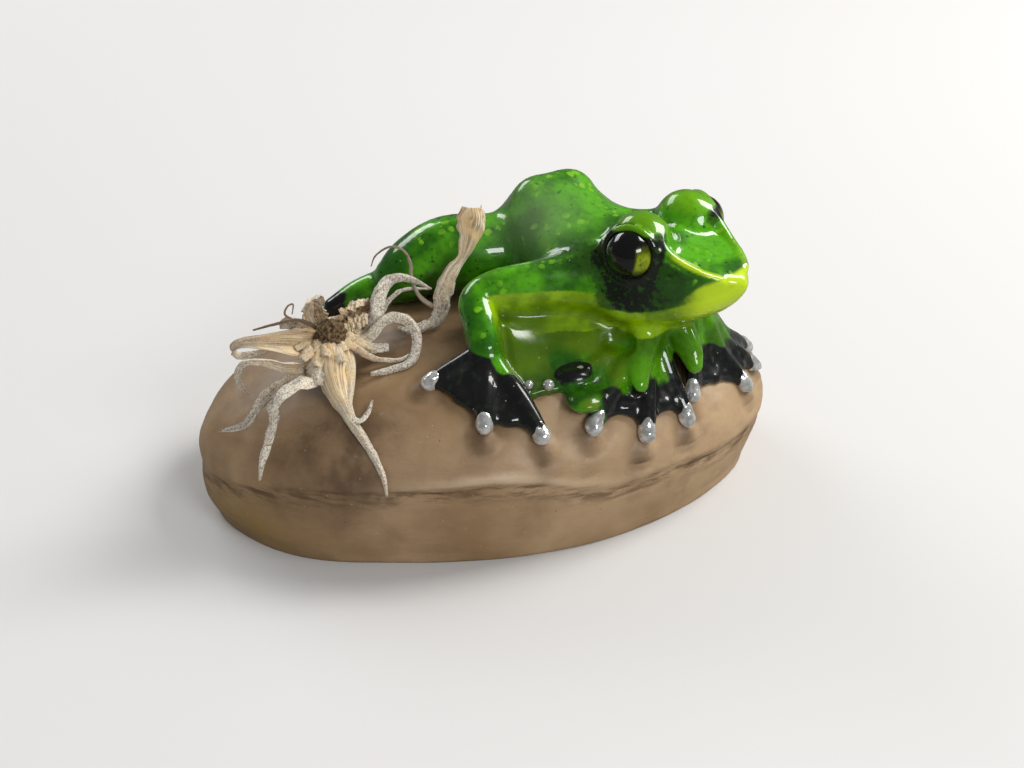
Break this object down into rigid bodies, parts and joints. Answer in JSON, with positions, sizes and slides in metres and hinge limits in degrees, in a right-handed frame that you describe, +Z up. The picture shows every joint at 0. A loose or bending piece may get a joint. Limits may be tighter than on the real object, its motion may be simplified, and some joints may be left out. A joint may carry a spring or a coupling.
{
  "type": "frog figurine",
  "caption": "Lacquered green frog with silver toe tips crouching on a flat-bottomed brown pebble, with a dried air plant glued beside it; nothing moves.",
  "frame": {"origin": "middle of the pebble's flat underside", "axes": "+X along the pebble's long axis, towards the end with the frog's head; +Z up; the frog's trunk faces -Y"},
  "size_m": [0.1012, 0.062, 0.0519],
  "materials": {
    "pebble": "satin",
    "frog_lacquer": "clear lacquer over paint",
    "eye_gloss": "glossy",
    "toe_silver": "glossy silver paint",
    "dried_leaf": "dry, papery",
    "dried_stem": "dry, fibrous",
    "plant_heart": "rough"
  },
  "bodies": {
    "root": {"pebble_base": "pebble", "frog_body": "frog_lacquer", "right_eye": "eye_gloss", "left_eye": "eye_gloss", "right_hand_toe_pads": "toe_silver", "left_hand_toe_pads": "toe_silver", "left_foot_toe_pads": "toe_silver", "right_foot_toe_pads": "toe_silver", "plant_crown": "dried_leaf", "plant_heart": "plant_heart", "leaf_left_loop_upper": "dried_leaf", "leaf_left_loop_lower": "dried_leaf", "leaf_left_low": "dried_leaf", "leaf_front_left": "dried_leaf", "leaf_front_long": "dried_leaf", "leaf_front_right": "dried_leaf", "leaf_right_low": "dried_leaf", "leaf_right_loop": "dried_leaf", "leaf_right_stub": "dried_leaf", "leaf_right_arch": "dried_leaf", "leaf_right_inner": "dried_leaf", "leaf_back_right": "dried_leaf", "leaf_hood": "dried_leaf", "leaf_back_left": "dried_leaf", "loose_leaf": "dried_leaf", "dry_stalk": "dried_stem", "curled_tendril": "dried_stem"}
  },
  "joints": []
}
